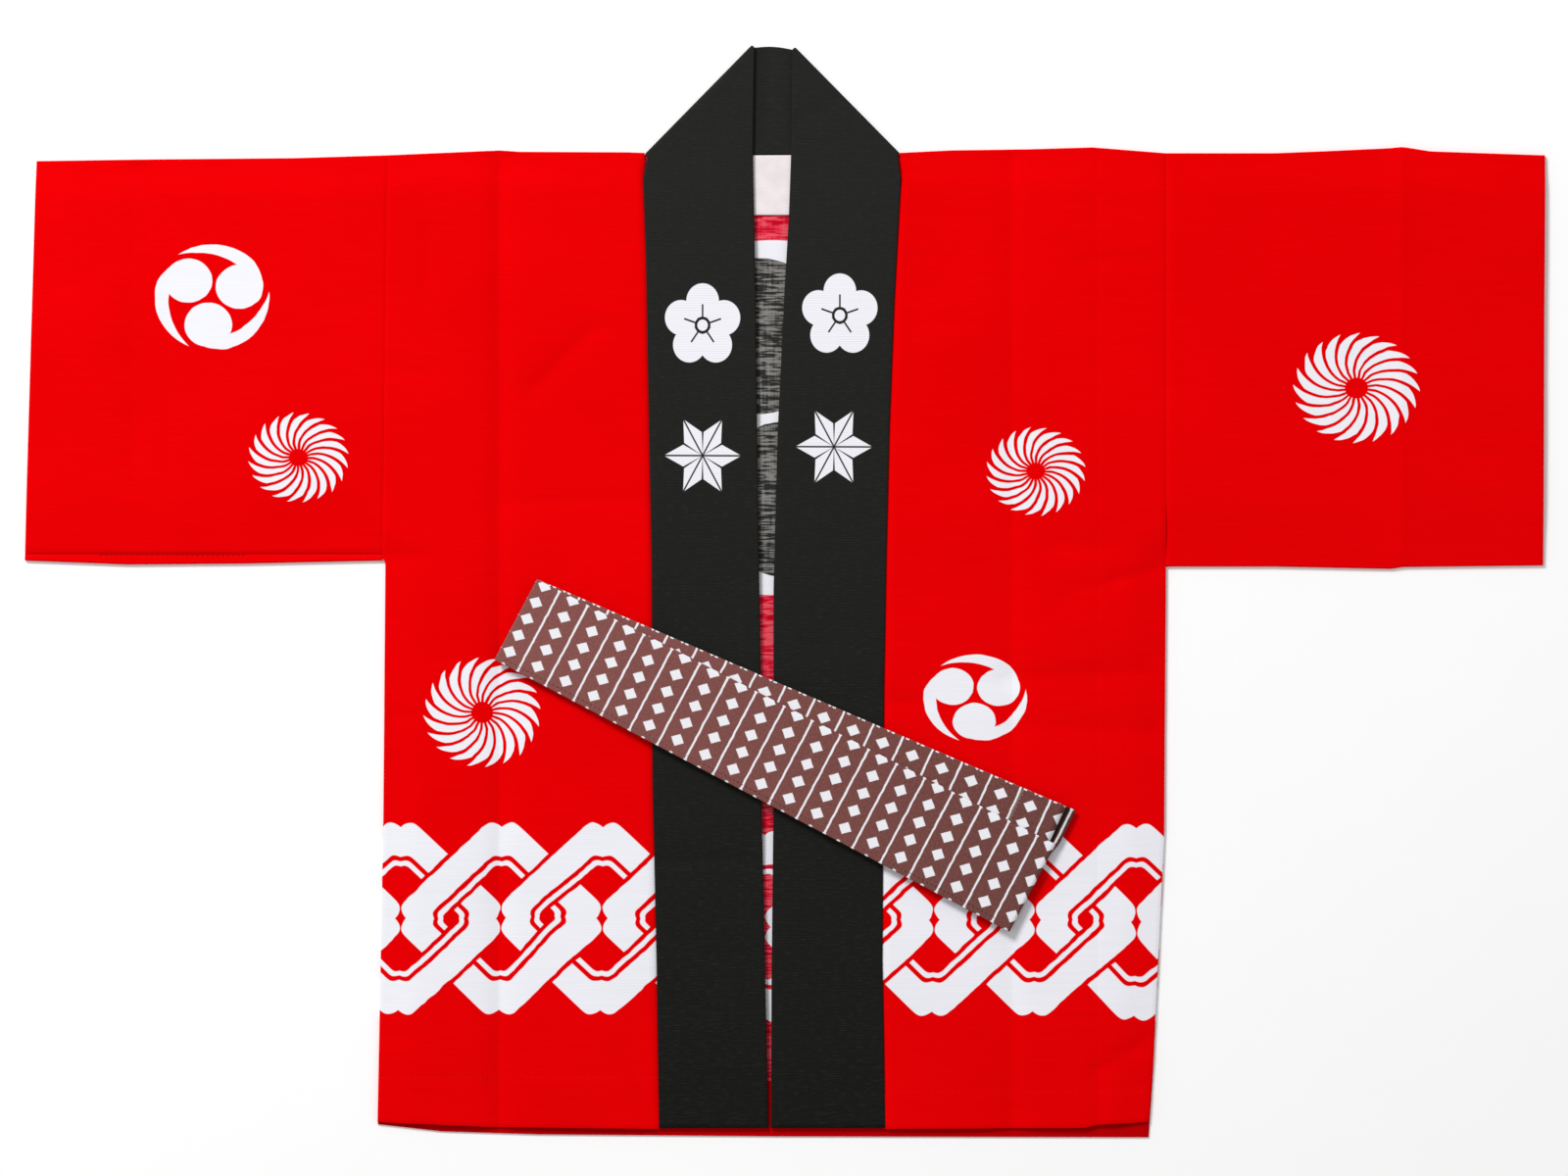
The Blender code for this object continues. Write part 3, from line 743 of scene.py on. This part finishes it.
def collarRows():
    starts, ends, normals = [], [], []
    middle = (collar["height"] + collar["neck"]) / 2
    bend = (collar["height"] - collar["neck"]) / 2

    def stripHeight(y):  # lower towards the hem
        return collar["height"] - collar["hemDrop"] * (1 - ease((y - collar["hemY"]) / lay["hemReach"]))

    def addStrip(outer, inner, fold, upward):
        level = np.linspace(collar["hemY"], collar["turnY"], collar["rows"])
        lean = np.linspace(0, 1, collar["leanRows"] + 1)[1:]
        outerY = np.concatenate([level, between(collar["turnY"], fold[0][1], lean)])
        innerY = np.concatenate([level, between(collar["turnY"], fold[1][1], lean)])
        first, last = [
            np.stack([readTable(table, y), y, stripHeight(y)], axis=1)
            for table, y in ((outer, outerY), (inner, innerY))
        ]
        order = slice(None) if upward else slice(None, None, -1)
        starts.append(first[order])
        ends.append(last[order])
        normals.append(np.tile([0.0, 0.0, 1.0], (len(first), 1)))

    def addBend(fold, way, turns):
        fold = np.array(fold)
        along = (fold[1] - fold[0]) / np.linalg.norm(fold[1] - fold[0])
        out = way * np.array([-along[1], along[0]])
        push = bend * np.sin(turns)[:, None] * out
        height = (middle + bend * np.cos(turns))[:, None]
        starts.append(np.hstack([fold[0] + push, height]))
        ends.append(np.hstack([fold[1] + push, height]))
        normals.append(np.hstack([np.sin(turns)[:, None] * out, np.cos(turns)[:, None]]))

    turns = np.linspace(0, math.pi, collar["bendRows"] + 1)
    addStrip(outline["rightStripOuter"], outline["rightStripInner"], collar["rightFold"], True)
    addBend(collar["rightFold"], 1, turns[1:])
    right, left = np.array(collar["rightFold"]), np.array(collar["leftFold"])
    share = np.linspace(0, 1, collar["neckRows"] + 2)[1:-1, None]
    for place, rows in ((0, starts), (1, ends)):
        band = between(right[place], left[place], share)
        band[:, 1] += place * collar["neckBow"] * np.sin(math.pi * share[:, 0])  # the upper edge alone
        rows.append(np.hstack([band, np.full((len(band), 1), collar["neck"])]))
    normals.append(np.tile([0.0, 0.0, -1.0], (len(share), 1)))
    addBend(collar["leftFold"], -1, turns[:0:-1])
    addStrip(outline["leftStripOuter"], outline["leftStripInner"], collar["leftFold"], False)
    return np.concatenate(starts), np.concatenate(ends), np.concatenate(normals)


def collarMaterial():
    # faded a little towards the neck, with pale yarns that show in dashes
    material, place = startMaterial("blackCotton", 0.9, 0.05)
    x, y, z = separate(place)
    rib, slub = weave(place, y, redCotton["rib"])
    fade = inked((y + 40.0) / 600, 1.0)
    dash = inked(noise(place, (0.2, 1.3, 1.3), 1.0) + rib * 0.06 + slub * 0.25 - 0.76, 0.25)
    ground = tint(fade, collar["lower"], collar["upper"])
    ground = tint(dash * 0.22 + (rib + 1.0) * 0.05, ground, collar["slub"])
    marks = []
    for shape, markX, markY, start in collarMarks:
        crest = {"x": markX, "y": markY, "start": start, **collar["mark"]}
        marks.append(shape(x, y, crest))
    white = inked(larger(*marks)) * (z > 2.8)
    colour = tint(white, ground, collar["white"])
    return finishMaterial(material, colour, rib * 0.05 + slub * 0.12)


starts, ends, normals = collarRows()
across = edgedShares(collar["columns"], collar["width"], collar["half"])
middle = starts[:, None] + (ends - starts)[:, None] * across[:, None]
width = np.linalg.norm(ends - starts, axis=1)[:, None]
tube = flatTube(middle, normals, width, collar["half"], across)
onStrip = (normals[:, 2] > 0.99)[:, None]
onNeck = (normals[:, 2] < -0.99)[:, None]
depth = np.where(onStrip, creaseDepth(tube[..., 0], tube[..., 1], collarCreases), 0)
tube[..., 2] += np.where(onStrip, ripple(tube[..., 0], tube[..., 1]) * 0.8, 0) - depth
sink = sum(deep * np.exp(-(((tube[..., 0] - x) / reach) ** 2)) for x, reach, deep in collar["sinks"])
tube[..., 2] -= np.where(onNeck & (tube[..., 2] > 1.2), sink * ease((tube[..., 1] - 280) / 20), 0)
collarCloth = addTube("collar_cloth", tube, collarMaterial())
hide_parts("collar")
print("collar ready")

# Stitching


def addStitches(name, points, ways, thread):
    # each stitch is a long eight-sided grain: its two ends, and four points round its middle
    count = len(points)
    long, wide = thread["size"]
    way = ways / np.linalg.norm(ways, axis=1)[:, None]
    across = np.stack([-way[:, 1], way[:, 0], np.zeros(count)], axis=1)
    up = np.array([0.0, 0.0, 1.0])
    grain = np.stack(
        [points - way * long / 2, points + across * wide / 2, points + up * wide / 2,
         points - across * wide / 2, points - up * wide / 2, points + way * long / 2], axis=1
    )
    corners = np.array([(0, 1, 2), (0, 2, 3), (0, 3, 4), (0, 4, 1),
                        (5, 2, 1), (5, 3, 2), (5, 4, 3), (5, 1, 4)])
    faces = (np.arange(count)[:, None, None] * 6 + corners).reshape(-1, 3)
    mesh = bpy.data.meshes.new(name)
    place = (grain.reshape(-1, 3) - page["middle"]) * page["toMetres"]
    mesh.from_pydata(place.tolist(), [], faces.tolist())
    mesh.shade_smooth()
    material, threadPlace = startMaterial(name, 0.6, 0.3)
    twist = noise(threadPlace, (2.0, 2.0, 2.0), 1.0)
    darker = tuple(value * 0.6 for value in thread["colour"])
    mesh.materials.append(finishMaterial(material, tint(twist, darker, thread["colour"]), twist * 0.05))
    stitches = bpy.data.objects.new(name, mesh)
    bpy.context.scene.collection.objects.link(stitches)
    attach(stitches, "root")


def stitchRow(grid, start, end, pitch):
    # evenly spaced along a level line, at the height of the nearest points of the cloth's grid
    count = int(math.hypot(end[0] - start[0], end[1] - start[1]) / pitch)
    share = (np.arange(count) + 0.5)[:, None] / count
    flat = between(np.array(start), np.array(end), share)
    cloth = grid.reshape(-1, 3)
    cloth = cloth[cloth[:, 2] > lay["upper"]]
    near = np.argmin(np.hypot(*(flat[:, None] - cloth[None, :, :2]).transpose(2, 0, 1)), axis=1)
    return np.hstack([flat, cloth[near, 2:] + lay["wall"] / 2 - 0.05])


redThread = {"size": (2.3, 0.55), "pitch": 3.2, "colour": (0.6, 0.0005, 0.004)}
hemRows = [  # both fronts' hems, then the seam above the right sleeve's underside
    (body, (-255.0, lay["rightHem"]), (-80.0, lay["rightHem"])),
    (body, (66.0, lay["leftHem"]), (229.0, lay["leftHem"])),
    (sleeves["right"]["points"], (-479.0, lay["rightRow"]), (-254.5, 24.0)),
]
points = np.concatenate([stitchRow(*row, redThread["pitch"]) for row in hemRows])
ways = np.tile([1.0, 0.0, 0.0], (len(points), 1))
addStitches("hem_stitches", points, ways, redThread)
print("stitching ready")

# Label

label = {
    "x": -7.1, "top": 277.4, "wide": 60.0, "long": 38.1, "height": 1.75, "wall": 0.4,
    "cloth": (0.87, 0.81, 0.82), "cloudy": (0.8, 0.72, 0.73), "warp": 9.0, "weft": 7.0,
}


def labelMaterial():
    material, place = startMaterial("whiteTape", 0.7, 0.25)
    x, y, _ = separate(place)
    warp, weft = x * label["warp"], y * label["weft"]
    grid = warp.math("SINE", warp) + weft.math("SINE", weft)
    cloud = noise(place, (0.12, 0.12, 0.12), 2.0)
    colour = tint(inked(cloud - 0.5, 0.5), label["cloth"], label["cloudy"])
    return finishMaterial(material, colour, grid * 0.01)


u, v = np.meshgrid(np.linspace(-0.5, 0.5, 31), np.linspace(0, 1, 21))  # across and down
labelPoints = np.stack(
    [label["x"] + label["wide"] * u, label["top"] - label["long"] * v,
     label["height"] + 0.12 * np.sin(u * 9) * v], axis=-1
)
labelFaces = gridFaces(*u.shape, flip=True)
labelCloth = addPiece("label_cloth", labelPoints, labelFaces, [labelMaterial()])
thicken(labelCloth, label["wall"], 0)
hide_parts("label")
print("label ready")

# Belt

belt = {
    "half": 0.5, "height": 5.4, "pitch": 1.4, "width": 60.0, "steps": 94, "columns": 22,
    "leftFold": [(0, -154.9, 8.2), (1, -181.8, -42.6)],
    "rightFold": [(0, 169.3, -157.6), (1, 140.2, -212.8)],
    "lowLeftFold": [(0, -153.5, 7.2), (1, -180.4, -43.6)],
    "firstEnd": [(0, 177.9, -134.7), (0.45, 167.2, -158.5), (1, 153.1, -187.2)],
    "lastEnd": [
        (0, 184.4, -137.4), (0.25, 177.8, -150.8), (0.42, 173.3, -159.9), (0.55, 163.5, -166.0),
        (1, 150.0, -187.2),
    ],
    "brown": (0.27, 0.096, 0.087), "darkBrown": (0.13, 0.0475, 0.0405), "white": (0.86, 0.86, 0.9),
    # painted shadow: a near-black band across the strap, and how far inside its last end it lies
    "slotShadow": (0.02, 0.009, 0.008), "slotShadowFromEnd": 4.9,
    "edgeFrom": 2.9,  # of the stitched row, from its lower edge
    "edgeThread": {"size": (2.1, 0.5), "pitch": 3.0, "colour": (0.09, 0.032, 0.028)},
    "endThread": {"size": (4.0, 0.6), "colour": (0.5, 0.42, 0.38)},
}
beltPrint = {  # lines across the strap, and a column of diamonds between each two
    "cell": 19.92, "firstLine": 16.3, "halfLine": 0.66,
    "row": 12.2, "firstDiamond": 1.9, "halfAlong": 4.55, "halfDown": 4.2,
    "diamondScale": 3.1,  # from its middle to a side
    "edge": 29.1, "halfBit": 1.1,  # bits of the next column's print on both edges
    "reverseAt": 100.0,  # the reverse is so much further across in the UV map
    # how much further the print and its bits lie on the reverse
    "reverseAlong": -5.4, "reverseAcross": 7.3, "reverseBit": 3.1,
    "firstStretch": 0.979, "lineFromEnd": 2.5,
}


def beltRows(across):
    # the strap's path: each row has its middle line's points, the way its face looks, and its stretch
    points, facings, stretches = [], [], []

    def line(table):
        share, x, y = np.array(table).T
        return np.stack([np.interp(across, share, x), np.interp(across, share, y)], axis=-1)

    def addRows(flat, height, facing):
        points.append(np.concatenate([flat, height], axis=-1))
        facings.append(facing)
        stretches.append(np.full(len(flat), len(stretches)))

    def addLayer(start, end, layer, facing, skip=1):
        share = np.linspace(0, 1, belt["steps"])[skip:, None, None]
        flat = between(line(start), line(end), share)
        height = np.full(flat.shape[:2] + (1,), belt["height"] + belt["pitch"] * layer)
        addRows(flat, height, np.tile([0.0, 0.0, facing], (len(flat), 1)))

    def addBend(fold, layer, nextLayer, way):
        edge = line(fold)
        along = (edge[-1] - edge[0]) / np.linalg.norm(edge[-1] - edge[0])
        out = way * np.array([along[1], -along[0]])
        climb = np.sign(nextLayer - layer)
        bend = abs(nextLayer - layer) * belt["pitch"] / 2
        middle = belt["height"] + belt["pitch"] * (layer + nextLayer) / 2
        turns = np.linspace(0, math.pi, 8 + 2 * abs(nextLayer - layer))[1:]
        flat = edge[None] + (bend * np.sin(turns))[:, None, None] * out
        height = (middle - climb * bend * np.cos(turns))[:, None, None]
        facing = np.hstack([np.sin(turns)[:, None] * out, -climb * np.cos(turns)[:, None]])
        addRows(flat, np.broadcast_to(height, flat.shape[:2] + (1,)), facing)

    addLayer(belt["firstEnd"], belt["leftFold"], 2, -1.0, skip=0)
    addBend(belt["leftFold"], 2, 3, 1)
    addLayer(belt["leftFold"], belt["rightFold"], 3, 1.0)
    addBend(belt["rightFold"], 3, 0, -1)
    addLayer(belt["rightFold"], belt["lowLeftFold"], 0, -1.0)
    addBend(belt["lowLeftFold"], 0, 1, 1)
    addLayer(belt["lowLeftFold"], belt["lastEnd"], 1, 1.0)
    return np.concatenate(points), np.concatenate(facings), np.concatenate(stretches)


def beltMaterial(slotShadowAt):
    # the strap's own length and width in millimetres place the print
    material, place = startMaterial("brownCotton", 0.85, 0.1)
    tree = material.node_tree
    strap = Wire(tree.nodes.new("ShaderNodeUVMap").outputs[0])
    strap.socket.node.uv_map = "strap"
    along, down, _ = separate(strap)
    reverse = down > beltPrint["reverseAt"] - 20
    down = down - reverse * beltPrint["reverseAt"]
    wander = noise(place, (0.2, 0.2, 0.2), 1.0) - 0.5
    printed = along - reverse * beltPrint["reverseAlong"] - beltPrint["firstLine"] + wander * 0.9
    cell = printed % beltPrint["cell"]
    toLine = smaller(cell, beltPrint["cell"] - cell)
    half = beltPrint["row"] / 2
    row = down - reverse * beltPrint["reverseAcross"] - beltPrint["firstDiamond"]
    row = (row + half) % beltPrint["row"] - half
    column = cell - beltPrint["cell"] / 2
    diamond = 1 - abs(column) / beltPrint["halfAlong"] - abs(row) / beltPrint["halfDown"]
    diamond = diamond * beltPrint["diamondScale"]
    edge = abs(down - belt["width"] / 2)
    bit = (printed - reverse * beltPrint["reverseBit"]) % (beltPrint["cell"] / 2)
    bit = beltPrint["halfBit"] - smaller(bit, beltPrint["cell"] / 2 - bit)
    bits = smaller(edge - beltPrint["edge"], bit)
    white = inked(larger(beltPrint["halfLine"] - toLine, diamond, bits), 0.35)
    mottle = noise(place, (0.7, 0.7, 0.7), 2.0, 0.65)
    paintedLightFromLeft = separate(place)[0] * 0.0018  # painted light: the strap is paler towards its left, where the lamp lights it more
    brown = tint(inked((mottle - 0.5) * 1.3 + paintedLightFromLeft, 1.0), belt["brown"], belt["darkBrown"])
    # painted shadow: a dark band across the strap just inside its last end, where the ply above shades the
    # one below
    slotShadow = inked(1.1 - abs(along - slotShadowAt), 0.6)
    colour = tint(slotShadow, tint(white, brown, belt["white"]), belt["slotShadow"])
    warp, weft = along * 5.2, down * 5.2
    grid = warp.math("SINE", warp) * weft.math("SINE", weft)
    return finishMaterial(material, colour, grid * 0.012 + mottle * 0.12)


across = edgedShares(belt["columns"], belt["width"], belt["half"])
middle, facing, stretch = beltRows(across)
tube = flatTube(middle, facing, belt["width"], belt["half"], across)
tube[..., 2] += (0.12 * np.sin(tube[..., 0] / 19) + 0.08 * np.sin(tube[..., 1] / 9 + 1)) * (tube[..., 2] > 5)
length = lengthAlong(middle[:, len(across) // 2])
fromFold = np.abs(length - length[stretch == 1][-1]) + 1.2
# the first stretch's print is a little longer, and a line crosses the last one just inside its end
endOff = (fromFold[-1] - beltPrint["lineFromEnd"] - beltPrint["firstLine"]) % beltPrint["cell"]
longer = np.where(stretch == 0, beltPrint["firstStretch"], 1)
fromFold = fromFold * longer - np.where(stretch == 6, endOff, 0)
ringShare = np.concatenate([across, across[-2:0:-1]]) * belt["width"]
ringShare[len(across) :] += beltPrint["reverseAt"]
strap = np.stack(np.broadcast_arrays(fromFold[:, None], ringShare[None]), axis=-1)
beltCloth = addTube("belt_cloth", tube, beltMaterial(fromFold[-1] - belt["slotShadowFromEnd"]), strap=strap)
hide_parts("belt")
# a row of stitches along the top stretch
onTop = middle[stretch == 2]
share = 1 - belt["edgeFrom"] / belt["width"]
edgeLine = onTop[:, [np.argmin(np.abs(across - share))]][:, 0] + [0, 0, belt["half"] + 0.02]
edgeLength = lengthAlong(edgeLine)
at = np.arange(2.0, edgeLength[-1] - 1, belt["edgeThread"]["pitch"])
points = np.stack([np.interp(at, edgeLength, edgeLine[:, axis]) for axis in range(3)], axis=1)
ways = np.gradient(points, axis=0)
addStitches("belt_edge_stitches", points, ways, belt["edgeThread"])
# a zigzag closes the strap near its cut end
endLine, nextLine = middle[0], middle[8]
zig = np.linspace(0.02, 0.98, 40)
off = np.where(np.arange(40) % 2, 0.62, 1.0)
zigzag = [
    np.stack([np.interp(zig, across, between(endLine, nextLine, part)[:, axis]) for axis in range(3)], axis=1)
    for part in (0.85, 1.0)
]
corners = np.where(off[:, None] > 0.8, *zigzag) + [0, 0, belt["half"] + 0.05]
points, ways = (corners[1:] + corners[:-1]) / 2, corners[1:] - corners[:-1]
addStitches("belt_end_stitches", points, ways, belt["endThread"])

# Floor, light and camera

studio = {
    "floor": (0.97, 0.97, 0.97), "floorSpeckle": (0.98, 0.98, 0.98),
    "floorReach": 6000.0, "floorHeight": -0.25,
    "glow": 0.05, "world": 0.5, "lamp": 158.0, "lampFrom": (-1.95, 2.85, 2.8), "lampSize": 1.3,
    "middle": (-0.0006, 0.00203), "height": 2.8, "level": 0.0035,  # the camera's place over the cloth
    "sensor": 36.0, "view": 0.992,  # the frame's width on the coat, in metres
}

reach = np.linspace(-studio["floorReach"], studio["floorReach"], 25)
u, v = np.meshgrid(reach, reach)
floorPoints = np.stack([u, v, np.full_like(u, studio["floorHeight"])], axis=-1).reshape(-1, 3)
floorMesh = bpy.data.meshes.new("floor")
floorMesh.from_pydata((floorPoints * page["toMetres"]).tolist(), [], gridFaces(*u.shape).tolist())
floor = bpy.data.objects.new("floor", floorMesh)
bpy.context.scene.collection.objects.link(floor)
floorMaterial, floorPlace = startMaterial("paleFloor", 0.95, 0.0)
speckle = noise(floorPlace, (0.02, 0.02, 0.02), 1.0)
finishMaterial(floorMaterial, tint(speckle, studio["floor"], studio["floorSpeckle"]), speckle * 0.01)
floorShader = floorMaterial.node_tree.nodes["Principled BSDF"]
floorShader.inputs["Emission Color"].default_value = (1, 1, 1, 1)
floorShader.inputs["Emission Strength"].default_value = studio["glow"]
floorMesh.materials.append(floorMaterial)

scene = bpy.context.scene
scene.view_settings.view_transform = "Standard"
scene.view_settings.look = "None"
world = bpy.data.worlds.new("studio")
world.use_nodes = True
world.node_tree.nodes["Background"].inputs["Color"].default_value = (1, 1, 1, 1)
world.node_tree.nodes["Background"].inputs["Strength"].default_value = studio["world"]
scene.world = world
lampData = bpy.data.lights.new("softbox", "AREA")
lampData.shape = "DISK"
lampData.size = studio["lampSize"]
lampData.energy = studio["lamp"]
lamp = bpy.data.objects.new("softbox", lampData)
lamp.location = studio["lampFrom"]
lamp.rotation_euler = (-lamp.location).to_track_quat("-Z", "Y").to_euler()
scene.collection.objects.link(lamp)

cameraData = bpy.data.cameras.new("camera")
cameraData.sensor_width = studio["sensor"]
cameraData.lens = studio["sensor"] * studio["height"] / studio["view"]
cameraData.clip_end = 20
camera = bpy.data.objects.new("camera", cameraData)
camera.location = (*studio["middle"], studio["height"] + studio["level"])
scene.collection.objects.link(camera)
scene.camera = camera
print("studio ready")
